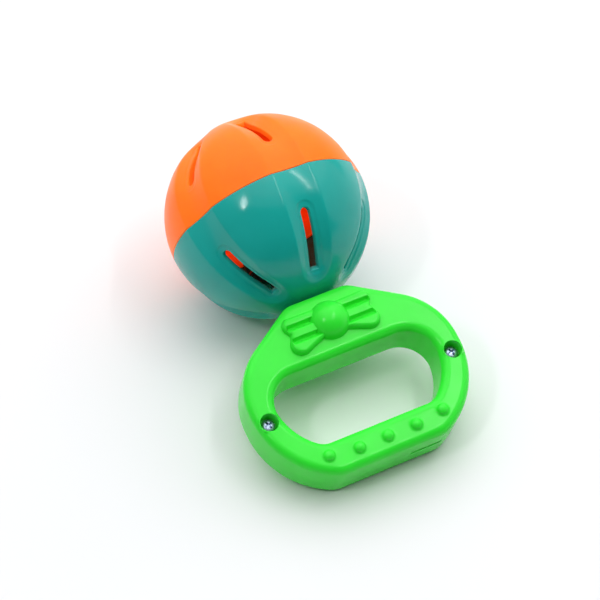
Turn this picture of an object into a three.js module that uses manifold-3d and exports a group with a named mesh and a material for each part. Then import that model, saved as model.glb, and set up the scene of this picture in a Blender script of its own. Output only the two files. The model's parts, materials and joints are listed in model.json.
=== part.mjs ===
// A baby rattle: a fluted two-colour ball with sound slots and a loose jingle bell inside,
// turning on a neck that is held in the crown of a ring-shaped handle.
// Millimetres, +Z up, +Y from the grip towards the ball. The rattle lies on a table, on its ball
// and on the rear edge of its grip, and its origin is the middle of its footprint.
//
// The pieces are drawn in the rattle's own frame and then tilted as one: x across the handle,
// y along the axis from the grip to the ball, z out of the handle's front face, zero at the ball's centre.

import * as THREE from "three";
import { mergeVertices } from "three/addons/utils/BufferGeometryUtils.js";
import Module from "manifold-3d";

const wasm = await Module();
wasm.setup();

// ---- Driving dimensions ----

const GAP = 0.3; // clearance between two pieces
const HALF_GAP = GAP / 2;
const FAR = 400; // larger than the object, for cutting half-spaces

const degrees = THREE.MathUtils.degToRad;

const BALL = {
  radius: 36.8,
  wall: 1.9,
  restRadius: 36.62, // the ball rests across a flute, a little inside its own radius
  phase: degrees(5.8), // how far the ball stands turned on its neck
  tongueLength: 2.6, // the cap's locating ring, inside the neck half
  tongueWall: 1,
};

const FLUTE = {
  count: 6,
  halfWidth: 7,
  taper: 1, // how much narrower the flute is at its end latitude
  depthAtEquator: 1.3,
  depthExtra: 0.9, // added on the way to the deep latitude
  deepLatitude: degrees(50),
  endStart: degrees(52), // latitude where the round end begins
  endLatitude: degrees(70),
};

const SLOT = {
  width: 3.4,
  nearEquator: degrees(23.6),
  nearPole: degrees(62.6),
};

const NECK = {
  radius: 4.8,
  bore: 2.8,
  flangeRadius: 7,
  flangeTop: 39.75, // distance from the ball's centre
  flangeThickness: 2,
};

const HANDLE = {
  halfThickness: 9.75,
  edgeRadius: 3,
  wall: 2.2,
  bottom: 101, // distance from the ball's centre to the flat end of the grip
  crown: 37.1, // and to the flat top of the crown
  ribThickness: 1.4,
};

const OUTLINE = {
  crownCorner: 11.8, // half-width of the crown before its corner is rounded
  crownRadius: 8,
  shoulderSlope: degrees(32.5),
  shoulder: { x: 14.7, y: -69.4, radius: 25.7 },
  side: { x: 8.3, y: -70.9, radius: 32.1 },
  bottomRadius: 10,
};

const OPENING = {
  top: 60.6,
  bottom: 88.4,
  corner: { x: 20, radius: 11 },
  side: { x: 8.3, y: -69.4 },
  bottomRadius: 7,
};

const SCREW = {
  x: 35.58,
  y: -74.37,
  recessRadius: 3.2,
  headTop: 7.2, // height of the head's top above the middle plane
  headHeight: 1.8,
  headRadius: 2.45,
  shankRadius: 1.3,
  clearRadius: 1.65,
  tip: -6.4,
  pilotEnd: -7,
  crossWidth: 0.7,
  crossLength: 2.8,
  crossDepth: 1,
  bossRadius: 4.4,
};

const BUMP = {
  radius: 2.3,
  height: 1.8,
  places: [
    [-21.93, -93.14],
    [-10.96, -94.49],
    [0, -94.42],
    [10.96, -94.49],
    [21.93, -93.14],
  ],
};

const CANDY = {
  y: -48.2,
  ballRadius: 7.15,
  ballHeight: 6.2,
  wingHeight: 2.6,
  wingBevel: 0.7,
  grooveDepth: 1.7,
  grooveWidth: 1.6,
  grooveOffsets: [2.4, -2.6], // the grooves' distances from the candy's centre line
  grooveEnd: 15.6,
};

// A short slot at the parting edge of the front half, in which a blade prises the halves apart.
const NOTCH = { x: 13.4, halfLength: 6, height: 1.2, depth: 1 };

const BELL = {
  radius: 9.4,
  wall: 0.5,
  flangeRadius: 10.1,
  flangeThickness: 0.5,
  orbit: 22.4, // distance of the bell's centre from the ball's centre
  tilt: degrees(28),
  slitWidth: 1.7,
  slitEnd: 6.2,
  slitHoleRadius: 1.7,
  pelletRadius: 2.4,
};

// The tilt that brings the ball and the grip's rounded rear edge down to the same level.
const EDGE_Y = HANDLE.bottom - HANDLE.edgeRadius;
const EDGE_Z = HANDLE.halfThickness - HANDLE.edgeRadius;
const TILT =
  Math.asin((BALL.restRadius - HANDLE.edgeRadius) / Math.hypot(EDGE_Y, EDGE_Z)) -
  Math.atan2(EDGE_Z, EDGE_Y);

// ---- Materials ----

const plastic = (color, roughness) =>
  new THREE.MeshStandardMaterial({ color, roughness, metalness: 0 });
const metal = (color, roughness) =>
  new THREE.MeshStandardMaterial({ color, roughness, metalness: 1 });

const MATERIALS = {
  orange: plastic(0xff7a2c, 0.3),
  teal: plastic(0x2aa995, 0.3),
  green: plastic(0x3fe84a, 0.35),
  zinc: metal(0xb9c2cc, 0.3),
  nickel: metal(0x6b6a66, 0.35),
  steel: metal(0x8d9094, 0.25),
};

// ---- Solids ----

function toSolid(geometry) {
  const bare = geometry.index ? geometry.toNonIndexed() : geometry.clone();
  bare.deleteAttribute("normal");
  bare.deleteAttribute("uv");
  const merged = mergeVertices(bare, 1e-4);
  return new wasm.Manifold(
    new wasm.Mesh({
      numProp: 3,
      vertProperties: new Float32Array(merged.attributes.position.array),
      triVerts: new Uint32Array(merged.index.array),
    }),
  );
}

function toMesh(name, solid, material) {
  const cut = solid.getMesh();
  const geometry = new THREE.BufferGeometry();
  geometry.setAttribute("position", new THREE.BufferAttribute(cut.vertProperties, 3));
  geometry.setIndex(new THREE.BufferAttribute(cut.triVerts, 1));
  geometry.computeVertexNormals();
  const mesh = new THREE.Mesh(geometry, material);
  mesh.name = name;
  return mesh;
}

const addAll = (solids) => solids.reduce((sum, next) => sum.add(next));
const cutAll = (solid, cutters) => cutters.reduce((rest, next) => rest.subtract(next), solid);

function block(sizeX, sizeY, sizeZ, x, y, z) {
  return toSolid(new THREE.BoxGeometry(sizeX, sizeY, sizeZ).translate(x, y, z));
}

// An upright cylinder from height low to height high.
function post(radius, low, high, x, y, segments = 14) {
  const geometry = new THREE.CylinderGeometry(radius, radius, high - low, segments);
  return toSolid(geometry.rotateX(Math.PI / 2).translate(x, y, (low + high) / 2));
}

// A surface of revolution about y, from pairs of radius and height.
const lathe = (profile, segments) =>
  new THREE.LatheGeometry(
    profile.map(([radius, height]) => new THREE.Vector2(radius, height)),
    segments,
  );

// Points of a circular arc in a lathe profile, latitude from the equator.
function arc(radius, fromLatitude, toLatitude, steps) {
  const points = [];
  for (let i = 0; i <= steps; i++) {
    const latitude = THREE.MathUtils.lerp(fromLatitude, toLatitude, i / steps);
    points.push([radius * Math.cos(latitude), radius * Math.sin(latitude)]);
  }
  return points;
}

// ---- Ball ----

const SECTOR = (2 * Math.PI) / FLUTE.count;
const FLUTE_STEPS = 2; // mesh steps from a flute's middle to its edge
const LOBE_STEPS = 2; // and from its edge to the middle of the lobe
const BALL_SEGMENTS = FLUTE.count * 2 * (FLUTE_STEPS + LOBE_STEPS);
const NARROWEST = degrees(8); // the mesh keeps this half-angle where a flute has ended

// Half-width of a flute in millimetres and how far a latitude lies into its round end, 0 to 1.
function fluteAt(latitude) {
  const absolute = Math.abs(latitude);
  const width = FLUTE.halfWidth - FLUTE.taper * Math.min(absolute / FLUTE.endStart, 1) ** 3;
  const end = Math.max(absolute - FLUTE.endStart, 0) / (FLUTE.endLatitude - FLUTE.endStart);
  return { width, end: Math.min(end, 1) };
}

function fluteHalfAngle(latitude) {
  const { width, end } = fluteAt(latitude);
  const reach = (width * Math.sqrt(1 - end * end)) / (BALL.radius * Math.cos(latitude));
  return Math.max(Math.asin(Math.min(reach, 0.45)), NARROWEST);
}

function fluteDepth(latitude, angle) {
  const { width, end } = fluteAt(latitude);
  const across = (BALL.radius * Math.cos(latitude) * Math.sin(angle)) / width;
  const deep = THREE.MathUtils.smoothstep(Math.abs(latitude), 0, FLUTE.deepLatitude);
  const depth = FLUTE.depthAtEquator + FLUTE.depthExtra * deep;
  return depth * Math.max(1 - across * across - end * end, 0);
}

// Presses the flutes into a lathe shell: its mesh columns move onto the flutes' edges.
function pressFlutes(geometry) {
  const position = geometry.attributes.position;
  const columns = FLUTE_STEPS + LOBE_STEPS;
  const point = new THREE.Vector3();
  for (let i = 0; i < position.count; i++) {
    point.fromBufferAttribute(position, i);
    const radius = point.length();
    const latitude = Math.asin(THREE.MathUtils.clamp(point.y / radius, -1, 1));
    const column = Math.round(Math.atan2(point.x, point.z) / (SECTOR / 2 / columns));
    const flute = Math.round(column / (2 * columns));
    const step = column - flute * 2 * columns;
    const edge = fluteHalfAngle(latitude);
    const inFlute = Math.min(Math.abs(step), FLUTE_STEPS) / FLUTE_STEPS;
    const inLobe = Math.max(Math.abs(step) - FLUTE_STEPS, 0) / LOBE_STEPS;
    const angle = Math.sign(step) * (edge * inFlute + (SECTOR / 2 - edge) * inLobe);
    const pressed = radius - fluteDepth(latitude, angle);
    const azimuth = flute * SECTOR + angle;
    const flat = pressed * Math.cos(latitude);
    point.set(flat * Math.sin(azimuth), pressed * Math.sin(latitude), flat * Math.cos(azimuth));
    position.setXYZ(i, point.x, point.y, point.z);
  }
  return geometry;
}

// One sound slot, square towards the pole and round towards the equator.
function slotCutter(index, side) {
  const reach = { low: BALL.radius - 8, high: BALL.radius + 2 };
  const roundLatitude = SLOT.nearEquator + SLOT.width / 2 / BALL.radius;
  const sector = new THREE.Shape();
  sector.absarc(0, 0, reach.high, roundLatitude, SLOT.nearPole, false);
  sector.absarc(0, 0, reach.low, SLOT.nearPole, roundLatitude, true);
  const slab = new THREE.ExtrudeGeometry(sector, {
    depth: SLOT.width,
    bevelEnabled: false,
    curveSegments: 2,
  });
  slab.translate(0, 0, -SLOT.width / 2);
  const round = new THREE.CylinderGeometry(
    SLOT.width / 2,
    SLOT.width / 2,
    reach.high - reach.low,
    12,
  );
  round.rotateZ(-Math.PI / 2).translate((reach.high + reach.low) / 2, 0, 0);
  round.rotateZ(roundLatitude);
  const place = new THREE.Matrix4()
    .makeRotationY(index * SECTOR - Math.PI / 2)
    .multiply(new THREE.Matrix4().makeScale(1, side, 1));
  const solids = [slab, round].map((part) => {
    part.applyMatrix4(place);
    return toSolid(side < 0 ? turned(part) : part);
  });
  return addAll(solids);
}

// The same surface with each face turned round, after a mirroring matrix.
function turned(geometry) {
  const flat = geometry.index ? geometry.toNonIndexed() : geometry;
  const position = flat.attributes.position;
  const second = new THREE.Vector3();
  const third = new THREE.Vector3();
  for (let i = 0; i < position.count; i += 3) {
    second.fromBufferAttribute(position, i + 1);
    third.fromBufferAttribute(position, i + 2);
    position.setXYZ(i + 1, third.x, third.y, third.z);
    position.setXYZ(i + 2, second.x, second.y, second.z);
  }
  return flat;
}

function cutSlots(solid, side) {
  const cutters = Array.from({ length: FLUTE.count }, (_, index) => slotCutter(index, side));
  return cutAll(solid, cutters);
}

const OUTER_STEPS = 9; // mesh steps from the parting line to the pole or the neck
const INNER_STEPS = 6;

function capShell() {
  const inner = BALL.radius - BALL.wall;
  const tongueOuter = inner - GAP;
  const tongueInner = tongueOuter - BALL.tongueWall;
  const rise = BALL.tongueLength;
  const atRadius = (radius, height) => [Math.sqrt(radius ** 2 - height ** 2), height];
  const profile = [
    ...arc(inner, Math.PI / 2, degrees(9), INNER_STEPS),
    atRadius(tongueInner, rise),
    atRadius(tongueInner, -rise),
    atRadius(tongueOuter, -rise),
    atRadius(tongueOuter, HALF_GAP),
    ...arc(BALL.radius, HALF_GAP / BALL.radius, Math.PI / 2, OUTER_STEPS),
  ];
  const geometry = pressFlutes(lathe(closeAtAxis(profile), BALL_SEGMENTS));
  return cutSlots(toSolid(geometry), 1);
}

// Puts the ends of a profile exactly on the axis.
function closeAtAxis(profile) {
  const last = profile.length - 1;
  return profile.map(([radius, height], i) => [i === 0 || i === last ? 0 : radius, height]);
}

function neckShell() {
  const inner = BALL.radius - BALL.wall;
  const outerNeckLatitude = -Math.acos(NECK.radius / BALL.radius);
  const innerNeckLatitude = -Math.acos(NECK.bore / inner);
  const flangeBottom = NECK.flangeTop + NECK.flangeThickness;
  const profile = [
    ...arc(BALL.radius, outerNeckLatitude, -HALF_GAP / BALL.radius, OUTER_STEPS),
    ...arc(inner, -HALF_GAP / inner, innerNeckLatitude, INNER_STEPS),
    [NECK.bore, -flangeBottom],
    [NECK.flangeRadius, -flangeBottom],
    [NECK.flangeRadius, -NECK.flangeTop],
    [NECK.radius, -NECK.flangeTop],
  ];
  profile.push(profile[0]);
  const geometry = pressFlutes(lathe(profile, BALL_SEGMENTS));
  return cutSlots(toSolid(geometry), -1);
}

// ---- Handle ----

const ARC_STEP = degrees(11);

// Point of contact and centre of a fillet between a horizontal edge and the circle that meets it.
function filletToCircle(circle, edgeY, radius) {
  const centreY = edgeY + radius;
  const reach = circle.radius - radius;
  const centreX = circle.x + Math.sqrt(reach ** 2 - (centreY - circle.y) ** 2);
  return { x: centreX, y: centreY, angle: Math.atan2(centreY - circle.y, centreX - circle.x) };
}

// Points of a clockwise arc in an outline, one about every arc step.
function sweep(centre, radius, fromAngle, toAngle) {
  const steps = Math.max(Math.ceil((fromAngle - toAngle) / ARC_STEP), 2);
  return Array.from({ length: steps + 1 }, (_, i) => {
    const angle = THREE.MathUtils.lerp(fromAngle, toAngle, i / steps);
    return new THREE.Vector2(
      centre.x + radius * Math.cos(angle),
      centre.y + radius * Math.sin(angle),
    );
  });
}

// A closed symmetrical outline from the arcs of its right half; a point where two arcs meet is taken once.
function mirrored(arcs) {
  const points = arcs.flat();
  const right = points.filter((point, i) => i === 0 || point.distanceTo(points[i - 1]) > 0.01);
  const left = right.map((point) => new THREE.Vector2(-point.x, point.y)).reverse();
  return [...right, ...left];
}

// The handle's outside: straight lines join the flat crown, the sloping shoulders and the flat bottom.
function outline() {
  const { crownCorner, crownRadius, shoulderSlope, shoulder, side, bottomRadius } = OUTLINE;
  const tangent = crownRadius * Math.tan(shoulderSlope / 2);
  const crown = { x: crownCorner - tangent, y: -HANDLE.crown - crownRadius };
  const slope = Math.PI / 2 - shoulderSlope;
  const corner = filletToCircle(side, -HANDLE.bottom, bottomRadius);
  return mirrored([
    sweep(crown, crownRadius, Math.PI / 2, slope),
    sweep(shoulder, shoulder.radius, slope, 0),
    sweep(side, side.radius, 0, corner.angle),
    sweep(corner, bottomRadius, corner.angle, -Math.PI / 2),
  ]);
}

// The finger opening, flat at its top and bottom.
function opening() {
  const { top, bottom, corner, side, bottomRadius } = OPENING;
  const upper = { x: corner.x, y: -top - corner.radius };
  const start = new THREE.Vector2(upper.x + corner.radius - side.x, upper.y - side.y);
  const circle = { ...side, radius: start.length() };
  const low = filletToCircle(circle, -bottom, bottomRadius);
  return mirrored([
    sweep(upper, corner.radius, Math.PI / 2, 0),
    sweep(circle, circle.radius, Math.atan2(start.y, start.x), low.angle),
    sweep(low, bottomRadius, low.angle, -Math.PI / 2),
  ]);
}

// The handle's ring with rounded edges, drawn in by an inset on all sides.
function ring(inset, edgeRadius, edgeSteps) {
  const shape = new THREE.Shape(outline());
  shape.holes.push(new THREE.Path(opening().reverse()));
  const halfThickness = HANDLE.halfThickness - inset;
  const geometry = new THREE.ExtrudeGeometry(shape, {
    depth: 2 * (halfThickness - edgeRadius),
    bevelThickness: edgeRadius,
    bevelSize: edgeRadius,
    bevelOffset: -edgeRadius - inset,
    bevelSegments: edgeSteps,
  });
  return toSolid(geometry.translate(0, 0, edgeRadius - halfThickness));
}

const INNER_EDGE = 1;
const screwSides = [-1, 1];

// Ribs across the crown behind the neck's flange, and across the grip.
function ribs() {
  const behindFlange = NECK.flangeTop + NECK.flangeThickness + GAP + HANDLE.ribThickness / 2;
  const depth = 2 * HANDLE.halfThickness - HANDLE.wall;
  const crossRib = block(26, HANDLE.ribThickness, depth, 0, -behindFlange, 0);
  const crownLength = OPENING.top - behindFlange;
  const crownRib = block(HANDLE.ribThickness, crownLength, depth, 0, -behindFlange - crownLength / 2, 0);
  const gripLength = HANDLE.bottom - OPENING.bottom - HANDLE.wall;
  const gripRibs = [-12, 0, 12].map((x) =>
    block(HANDLE.ribThickness, gripLength, depth, x, -(HANDLE.bottom + OPENING.bottom) / 2, 0),
  );
  return addAll([crossRib, crownRib, ...gripRibs]);
}

// Both halves as one hollow ring with its screw bosses, neck seat and ribs, before it is parted.
function hollowHandle() {
  const full = ring(0, HANDLE.edgeRadius, 3);
  const cavity = ring(HANDLE.wall, INNER_EDGE, 1);
  const bosses = screwSides.map((side) =>
    post(SCREW.bossRadius, -FAR, FAR, side * SCREW.x, SCREW.y),
  );
  const inside = addAll([...bosses, ribs()]).intersect(full);
  const hollow = full.subtract(cavity).add(inside);
  const neckHole = post(NECK.radius + GAP, 0, 8, 0, 0, 24);
  const seat = neckHole.rotate([90, 0, 0]).translate([0, -HANDLE.crown + 4, 0]);
  return hollow.subtract(seat);
}

function candy() {
  const top = HANDLE.halfThickness;
  const ball = new THREE.SphereGeometry(CANDY.ballRadius, 18, 10);
  ball.rotateX(Math.PI / 2).scale(1, 1, (CANDY.ballHeight + 1) / CANDY.ballRadius);
  const wings = [-1, 1].map((side) => {
    const wing = new THREE.ExtrudeGeometry(wingShape(), {
      depth: CANDY.wingHeight + 1 - CANDY.wingBevel,
      bevelThickness: CANDY.wingBevel,
      bevelSize: CANDY.wingBevel,
      bevelOffset: -CANDY.wingBevel,
      bevelSegments: 1,
      curveSegments: 3,
    });
    if (side < 0) wing.rotateZ(Math.PI).scale(1, -1, 1);
    return toSolid(side < 0 ? turned(wing) : wing).translate([0, CANDY.y, top - 1]);
  });
  const grooves = CANDY.grooveOffsets.map((offset) =>
    block(
      2 * CANDY.grooveEnd,
      CANDY.grooveWidth,
      2 * CANDY.grooveDepth,
      0,
      CANDY.y + offset,
      top + CANDY.wingHeight,
    ),
  );
  const centre = toSolid(ball.translate(0, CANDY.y, top - 1));
  const aboveWall = block(FAR, FAR, FAR, 0, 0, top - 1 + FAR / 2);
  return cutAll(addAll(wings), grooves).add(centre).intersect(aboveWall);
}

// A twisted wrapper end: two round lobes with a notch between them, narrowing to the candy's ball.
function wingShape() {
  const upper = { x: 13.9, y: 2.9, radius: 2.8 };
  const lower = { x: 13.4, y: -4.9, radius: 3.6 };
  const shape = new THREE.Shape();
  shape.moveTo(2, 5);
  shape.absarc(upper.x, upper.y, upper.radius, degrees(100), degrees(-40), true);
  shape.lineTo(15.4, -0.6);
  shape.absarc(lower.x, lower.y, lower.radius, degrees(35), degrees(-110), true);
  shape.lineTo(2, -4.6);
  return shape;
}

function bumps() {
  const solids = BUMP.places.map(([x, y]) => {
    const dome = new THREE.SphereGeometry(BUMP.radius, 10, 6);
    dome.rotateX(Math.PI / 2).scale(1, 1, BUMP.height / BUMP.radius);
    return toSolid(dome.translate(x, y, HANDLE.halfThickness));
  });
  return addAll(solids);
}

function frontHalf(hollow) {
  const front = hollow.intersect(block(FAR, FAR, FAR, 0, 0, FAR / 2 + HALF_GAP));
  const shelf = SCREW.headTop - SCREW.headHeight - HALF_GAP;
  const recesses = screwSides.flatMap((side) => [
    post(SCREW.recessRadius, shelf, FAR, side * SCREW.x, SCREW.y, 18),
    post(SCREW.clearRadius, -1, shelf + 1, side * SCREW.x, SCREW.y),
  ]);
  const notch = block(
    2 * NOTCH.halfLength,
    2 * NOTCH.depth,
    2 * NOTCH.height,
    NOTCH.x,
    -HANDLE.bottom,
    0,
  );
  return cutAll(addAll([front, candy(), bumps()]), [...recesses, notch]);
}

function rearHalf(hollow) {
  const rear = hollow.intersect(block(FAR, FAR, FAR, 0, 0, -FAR / 2 - HALF_GAP));
  const pilots = screwSides.map((side) =>
    post(SCREW.clearRadius, SCREW.pilotEnd, 1, side * SCREW.x, SCREW.y),
  );
  return cutAll(rear, pilots);
}

// ---- Screws ----

function screw(side) {
  const { headTop, headHeight, headRadius, shankRadius, tip } = SCREW;
  const underHead = headTop - headHeight;
  const profile = [
    [0, tip],
    [shankRadius, tip + 2],
    [shankRadius, underHead],
    [headRadius, underHead],
    [headRadius, headTop - headHeight / 2],
    [headRadius * 0.75, headTop - 0.2],
    [0, headTop],
  ];
  const body = toSolid(lathe(profile, 14).rotateX(Math.PI / 2));
  const cross = [0, Math.PI / 2].map((angle) => {
    const bar = new THREE.BoxGeometry(SCREW.crossLength, SCREW.crossWidth, 2 * SCREW.crossDepth);
    return toSolid(bar.rotateZ(angle + degrees(20)).translate(0, 0, headTop));
  });
  return cutAll(body, cross).translate([side * SCREW.x, SCREW.y, 0]);
}

// ---- Bell ----

function bellCup(side) {
  const { radius, wall, flangeRadius, flangeThickness } = BELL;
  const inner = radius - wall;
  const steps = 4;
  const rim = HALF_GAP;
  const profile = [
    ...arc(inner, Math.PI / 2, Math.asin(rim / inner), steps),
    [flangeRadius, rim],
    [flangeRadius, rim + flangeThickness],
    ...arc(radius, Math.asin((rim + flangeThickness) / radius), Math.PI / 2, steps),
  ];
  const cup = toSolid(lathe(closeAtAxis(profile), 18));
  return side > 0 ? cup : cutSlits(cup.rotate([180, 0, 0]));
}

function cutSlits(cup) {
  const { radius, slitWidth, slitEnd, slitHoleRadius } = BELL;
  const slits = [0, Math.PI / 2].map((angle) => {
    const slit = new THREE.BoxGeometry(2 * slitEnd, radius, slitWidth);
    return toSolid(slit.rotateY(angle).translate(0, -radius, 0));
  });
  const holes = [0, 1, 2, 3].map((index) => {
    const hole = new THREE.CylinderGeometry(slitHoleRadius, slitHoleRadius, radius, 8);
    return toSolid(hole.translate(slitEnd, -radius, 0).rotateY((index * Math.PI) / 2));
  });
  return cutAll(cup, [...slits, ...holes]);
}

function pellet() {
  return toSolid(new THREE.SphereGeometry(BELL.pelletRadius, 12, 8));
}

// ---- Assembly ----

function buildRattle() {
  const rattle = new THREE.Group();
  rattle.rotation.x = TILT;

  const ball = new THREE.Group();
  ball.rotation.y = BALL.phase;
  ball.add(toMesh("ball_cap_shell", capShell(), MATERIALS.orange));
  ball.add(toMesh("ball_neck_shell", neckShell(), MATERIALS.teal));
  rattle.add(ball);

  const hollow = hollowHandle();
  rattle.add(toMesh("handle_front_half", frontHalf(hollow), MATERIALS.green));
  rattle.add(toMesh("handle_rear_half", rearHalf(hollow), MATERIALS.green));
  rattle.add(toMesh("handle_screw_left", screw(-1), MATERIALS.zinc));
  rattle.add(toMesh("handle_screw_right", screw(1), MATERIALS.zinc));
  return rattle;
}

// The bell lies at the lowest point inside the ball, and its pellet at the lowest point inside the bell.
function buildBell() {
  const bell = new THREE.Group();
  bell.position.z = -BELL.orbit;
  const cups = new THREE.Group();
  cups.rotation.set(BELL.tilt, 0, BELL.tilt);
  cups.add(toMesh("bell_upper_cup", bellCup(1), MATERIALS.nickel));
  cups.add(toMesh("bell_lower_cup", bellCup(-1), MATERIALS.nickel));
  bell.add(cups);
  const loose = toMesh("bell_pellet", pellet(), MATERIALS.steel);
  loose.position.z = BELL.pelletRadius + BELL.wall + GAP - BELL.radius;
  bell.add(loose);
  return bell;
}

const part = new THREE.Group();
part.add(buildRattle());
part.add(buildBell());

// The origin goes to the middle of the footprint, on the table.
part.updateMatrixWorld(true);
const box = new THREE.Box3().setFromObject(part, true);
part.position.set(-(box.min.x + box.max.x) / 2, -(box.min.y + box.max.y) / 2, -box.min.z);

export default part;
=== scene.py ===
"""The looks of a baby rattle: a fluted two-colour ball on the neck of a ring handle, with a bell inside.

The pieces are built in the rattle's own frame, in millimetres: x across the handle, y along the axis from
the grip to the ball, z out of the handle's front face, zero at the ball's centre.
"""

import json
import math

import bmesh
import bpy
import numpy as np
from mathutils import Matrix, Vector
from mathutils.geometry import delaunay_2d_cdt
from mathutils.kdtree import KDTree


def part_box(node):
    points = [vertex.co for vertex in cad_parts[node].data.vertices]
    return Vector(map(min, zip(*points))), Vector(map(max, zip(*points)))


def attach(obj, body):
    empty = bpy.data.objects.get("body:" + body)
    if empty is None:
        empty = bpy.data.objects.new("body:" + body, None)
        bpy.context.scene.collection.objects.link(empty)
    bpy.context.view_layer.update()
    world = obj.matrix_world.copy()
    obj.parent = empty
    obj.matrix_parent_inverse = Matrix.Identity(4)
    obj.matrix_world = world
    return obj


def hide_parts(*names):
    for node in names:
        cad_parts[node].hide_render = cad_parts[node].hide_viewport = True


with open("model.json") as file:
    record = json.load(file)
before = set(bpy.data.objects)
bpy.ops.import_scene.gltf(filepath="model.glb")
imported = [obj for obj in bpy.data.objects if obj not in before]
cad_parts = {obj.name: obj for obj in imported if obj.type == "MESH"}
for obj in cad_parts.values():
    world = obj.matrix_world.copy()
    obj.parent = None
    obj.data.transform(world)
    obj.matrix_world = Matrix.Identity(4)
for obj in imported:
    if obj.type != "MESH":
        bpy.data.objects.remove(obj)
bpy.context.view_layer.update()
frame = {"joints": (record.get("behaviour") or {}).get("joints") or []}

MM = 0.001

spin = next(joint for joint in frame["joints"] if joint["name"] == "ball_spin")
roll = next(joint for joint in frame["joints"] if joint["name"] == "pellet_roll")
AXIS = Vector(spin["axis"]).normalized()
CENTRE = Vector(spin["pos_m"])
ACROSS = Vector((1, 0, 0))
OUT = ACROSS.cross(AXIS)
LOCAL = Matrix.Translation(CENTRE) @ Matrix((ACROSS, AXIS, OUT)).transposed().to_4x4() @ Matrix.Scale(MM, 4)

# ---- Dimensions ----

BALL_RADIUS = 36.72
BALL_WALL = 1.9
PHASE = math.radians(5.8)
TONGUE = {"outer": 34.6, "inner": 33.6, "rise": 2.6}  # the cap's rim that goes inside the other half
TONGUE_LATITUDES = (math.radians(4.5), math.radians(9))  # where it blends into the cap's wall
PARTING = 0.006  # half the gap between the two halves of the handle
PARTING_BEVEL = 0.02
SEAM = 0.08  # half the gap between the two halves of the ball

FLUTES = 6
FLUTE_WIDTH = 7  # half-width at the equator
FLUTE_TAPER = 1
FLUTE_DEPTH = 1.3  # at the equator
DEEPEST = {-1: 2.6, 1: 3.1}  # at the deep latitude, on the half with the neck and on the cap
DEEP_LATITUDE = math.radians(50)
END_START = math.radians(52)
END_LATITUDE = math.radians(70)
EDGE_SOFTNESS = 0.07  # how round the flutes' edges are, at the equator
END_SOFTNESS = {-1: 0.08, 1: 0.25}  # near their ends, on the half with the neck and on the cap

SLOT_WIDTH = 3.4
SLOT_NEAR = math.radians(23.6)
SLOT_FAR = math.radians(62.6)
SLOT_CORNER = 0.35  # its corner radius towards the pole
SLOT_STRETCH = 1.05  # makes up for the narrowing by the flute's depth
SLOT_EDGE = 0.4  # how round its edge is

RIM_WIDTH = 3.5  # half-width of the shallow recess round each slot
RIM_DEPTH = {-1: 0.3, 1: 0.12}  # on the half with the neck and on the cap
RIM_NEAR = 2.6  # how far the recess reaches beyond the slot's round end
RIM_FAR = 1.6
RIM_SOFTNESS = (-0.45, 0.25)  # from where to where its edge fades, inside and outside of its outline
RIM_STRETCH = 1.04  # a width along the sphere is a little more than the straight one

NECK_RADIUS = 4.8
NECK_BORE = 2.8
FLANGE_RADIUS = 7
FLANGE_TOP = 39.75
FLANGE_BOTTOM = 41.75
NECK_FOOT = 0.7  # how much wider the neck is where it leaves the ball
NECK_INLET = 0.4  # how far its bore reaches into the ball beyond the wall
SEAT_GAP = 0.3  # between the neck or its flange and the handle
FLANGE_GAP = 0.4  # round the flange

HALF_THICKNESS = 9.75  # of the handle
EDGE = 3  # the handle's edge radius
CROWN = 37.1  # from the ball's centre to the flat top of the crown
BOTTOM = 100.91  # and to the flat end of the grip


# ---- Meshes ----

SHARP = 38  # degrees between faces, from which an edge is drawn sharp


def linked(name, data):
    """An object of the scene."""
    made = bpy.data.objects.new(name, data)
    bpy.context.scene.collection.objects.link(made)
    return made


def closed_mesh(name, points, faces, place):
    """A mesh moved to its place, with its faces pointing out."""
    mesh = bpy.data.meshes.new(name)
    mesh.from_pydata(points, [], faces)
    mesh.transform(place)
    work = bmesh.new()
    work.from_mesh(mesh)
    bmesh.ops.recalc_face_normals(work, faces=work.faces)
    work.to_mesh(mesh)
    work.free()
    return mesh


def welded(points, faces):
    """The points with those that coincide joined, and the faces that keep three corners or more."""
    _, first, inverse = np.unique(np.round(points, 4), axis=0, return_index=True, return_inverse=True)
    inverse = inverse.reshape(-1)
    rings = [list(dict.fromkeys(inverse[face].tolist())) for face in faces]
    return points[first].tolist(), [ring for ring in rings if len(ring) > 2]


class Surface:
    """Points and faces gathered from several patches, welded where they meet."""

    def __init__(self):
        self.points, self.faces, self.count = [], [], 0

    def add(self, points, faces):
        points = np.asarray(points, float)
        self.points.append(points)
        self.faces += [[index + self.count for index in face] for face in faces]
        self.count += len(points)

    def loft(self, loops, closed=True):
        """Quads between each two neighbouring loops, which have the same number of points."""
        loops = [np.asarray(loop, float) for loop in loops]
        n = len(loops[0])
        faces = []
        for row in range(len(loops) - 1):
            for i in range(n if closed else n - 1):
                a, b = row * n + i, row * n + (i + 1) % n
                faces.append([a, b, b + n, a + n])
        self.add(np.concatenate(loops), faces)

    def mesh(self, name, place):
        return closed_mesh(name, *welded(np.concatenate(self.points), self.faces), place)

    def build(self, name, body, slot, material, replaces):
        return finish_piece(self.mesh(name, LOCAL), name, body, material, replaces)


def finish_piece(mesh, name, body, material, replaces, sharp=SHARP):
    """The mesh as a visible piece, which rides on a body and stands for a node of the frame."""
    mesh.validate()
    mesh.shade_smooth()
    mesh.set_sharp_from_angle(angle=math.radians(sharp))
    piece = linked(name, mesh)
    piece.data.materials.append(material)
    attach(piece, body)
    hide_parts(replaces)
    return piece


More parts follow.
